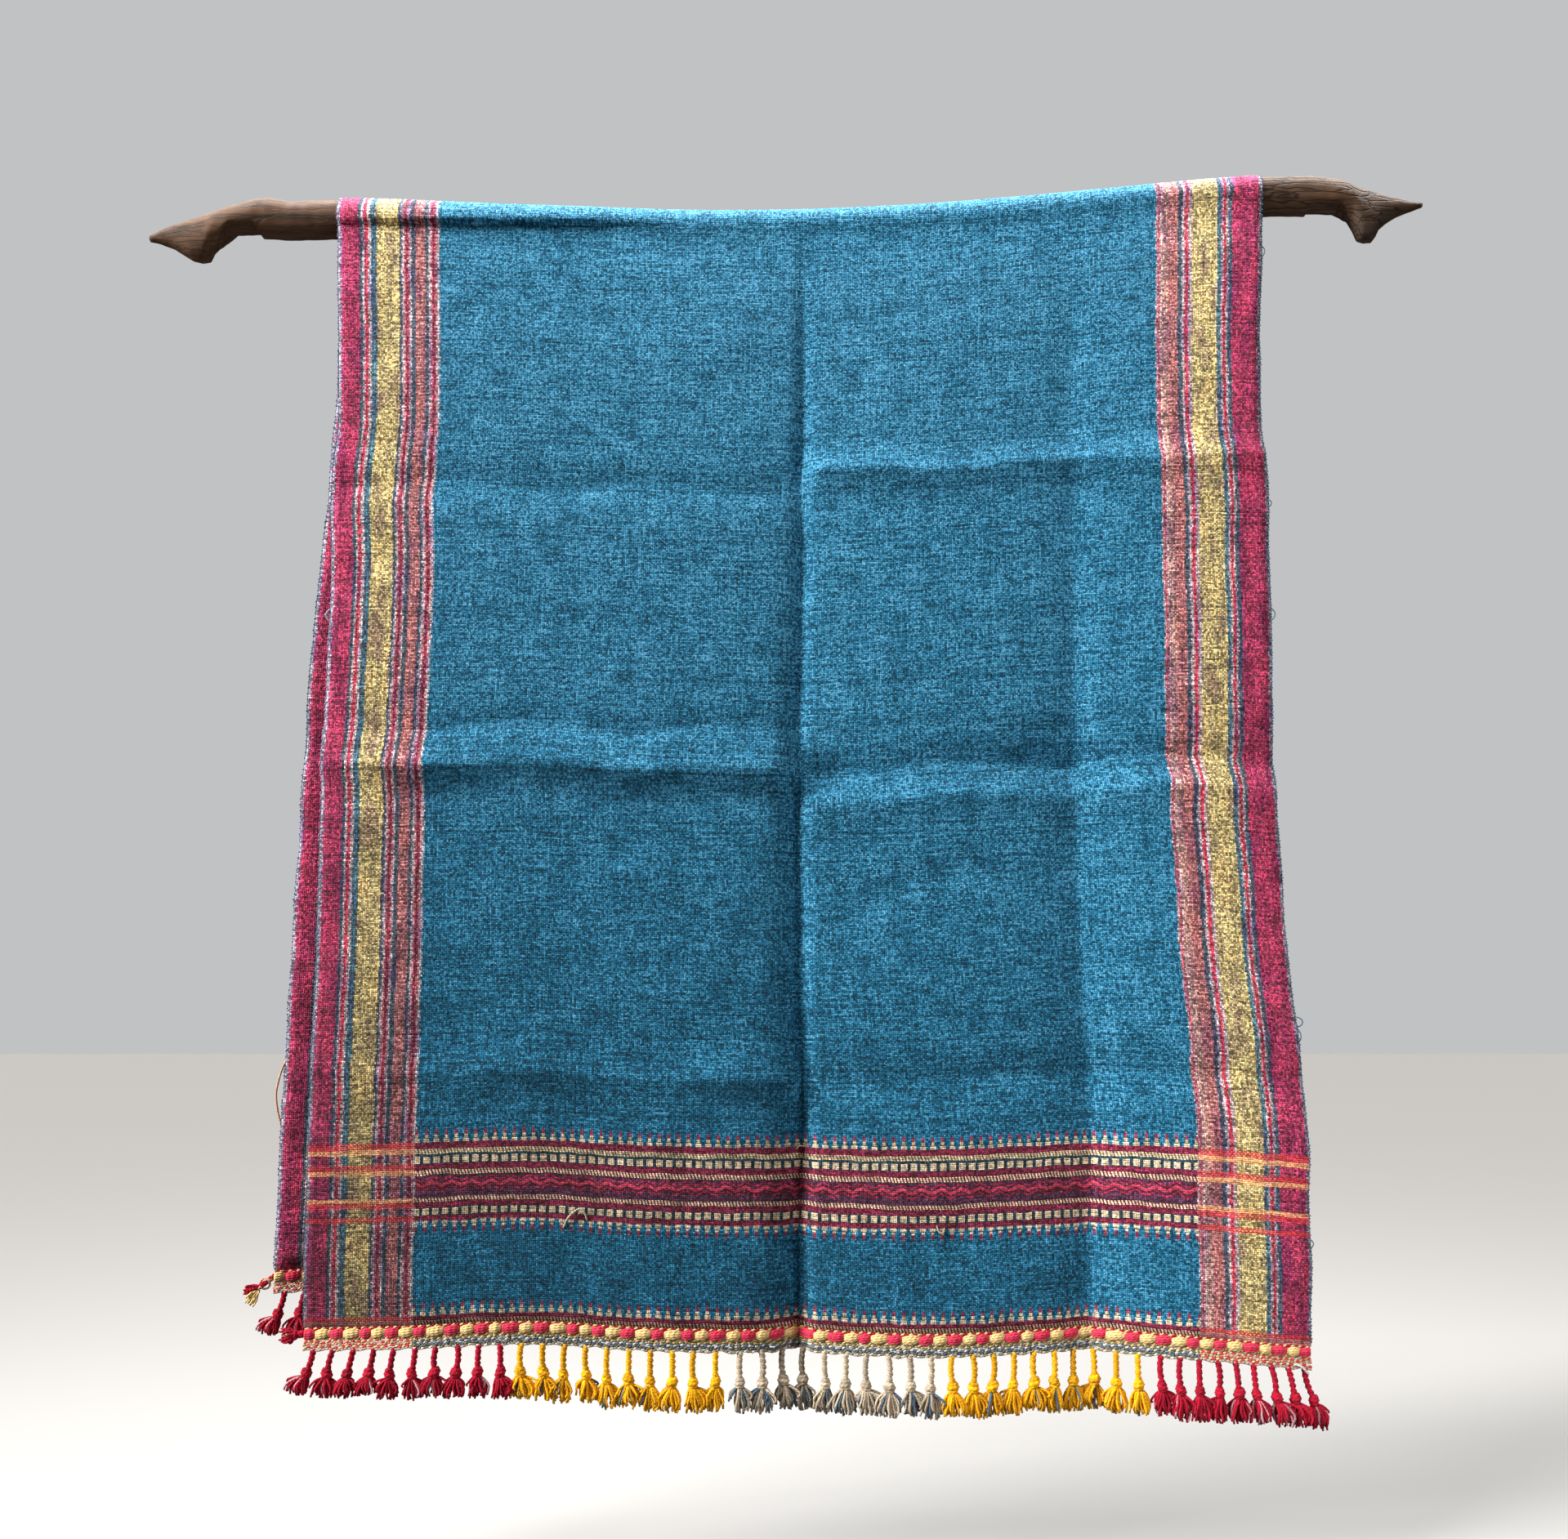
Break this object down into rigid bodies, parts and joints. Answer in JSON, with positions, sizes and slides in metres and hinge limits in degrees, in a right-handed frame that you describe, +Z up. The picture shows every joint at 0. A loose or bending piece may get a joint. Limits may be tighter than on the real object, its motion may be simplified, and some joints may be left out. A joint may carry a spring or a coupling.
{
  "type": "blanket shawl on a wooden rod",
  "caption": "Handwoven fringed wool blanket shawl folded over a bowed wooden rod with carved arrow-shaped ends.",
  "frame": {"origin": "midway between the two notched seats on which the rod is held", "axes": "+Z up, +X along the rod to the right as seen from the front, the front drop of the shawl towards -Y"},
  "size_m": [1.329, 0.0785, 1.2559],
  "materials": {
    "rod": "weathered carved hardwood, dry and bare",
    "cloth": "plain-woven wool, softly fuzzy, with striped side borders",
    "braid": "plump two-colour wool twining in pink and pale yellow",
    "red_yarn": "crimson wool yarn",
    "yellow_yarn": "golden yellow wool yarn",
    "cream_yarn": "undyed cream wool yarn with grey-blue ends"
  },
  "bodies": {
    "root": {"rod": "rod", "cloth_over_rod": "cloth", "cloth_front": "cloth", "cloth_back": "cloth", "braid_front": "braid", "braid_back": "braid", "corner_tuft_front": "braid", "corner_tuft_back": "braid", "fringe_front_red_left": "red_yarn", "fringe_front_yellow_left": "yellow_yarn", "fringe_front_cream": "cream_yarn", "fringe_front_yellow_right": "yellow_yarn", "fringe_front_red_right": "red_yarn", "fringe_back_red_left": "red_yarn", "fringe_back_yellow_left": "yellow_yarn", "fringe_back_cream": "cream_yarn", "fringe_back_yellow_right": "yellow_yarn", "fringe_back_red_right": "red_yarn"}
  },
  "joints": []
}
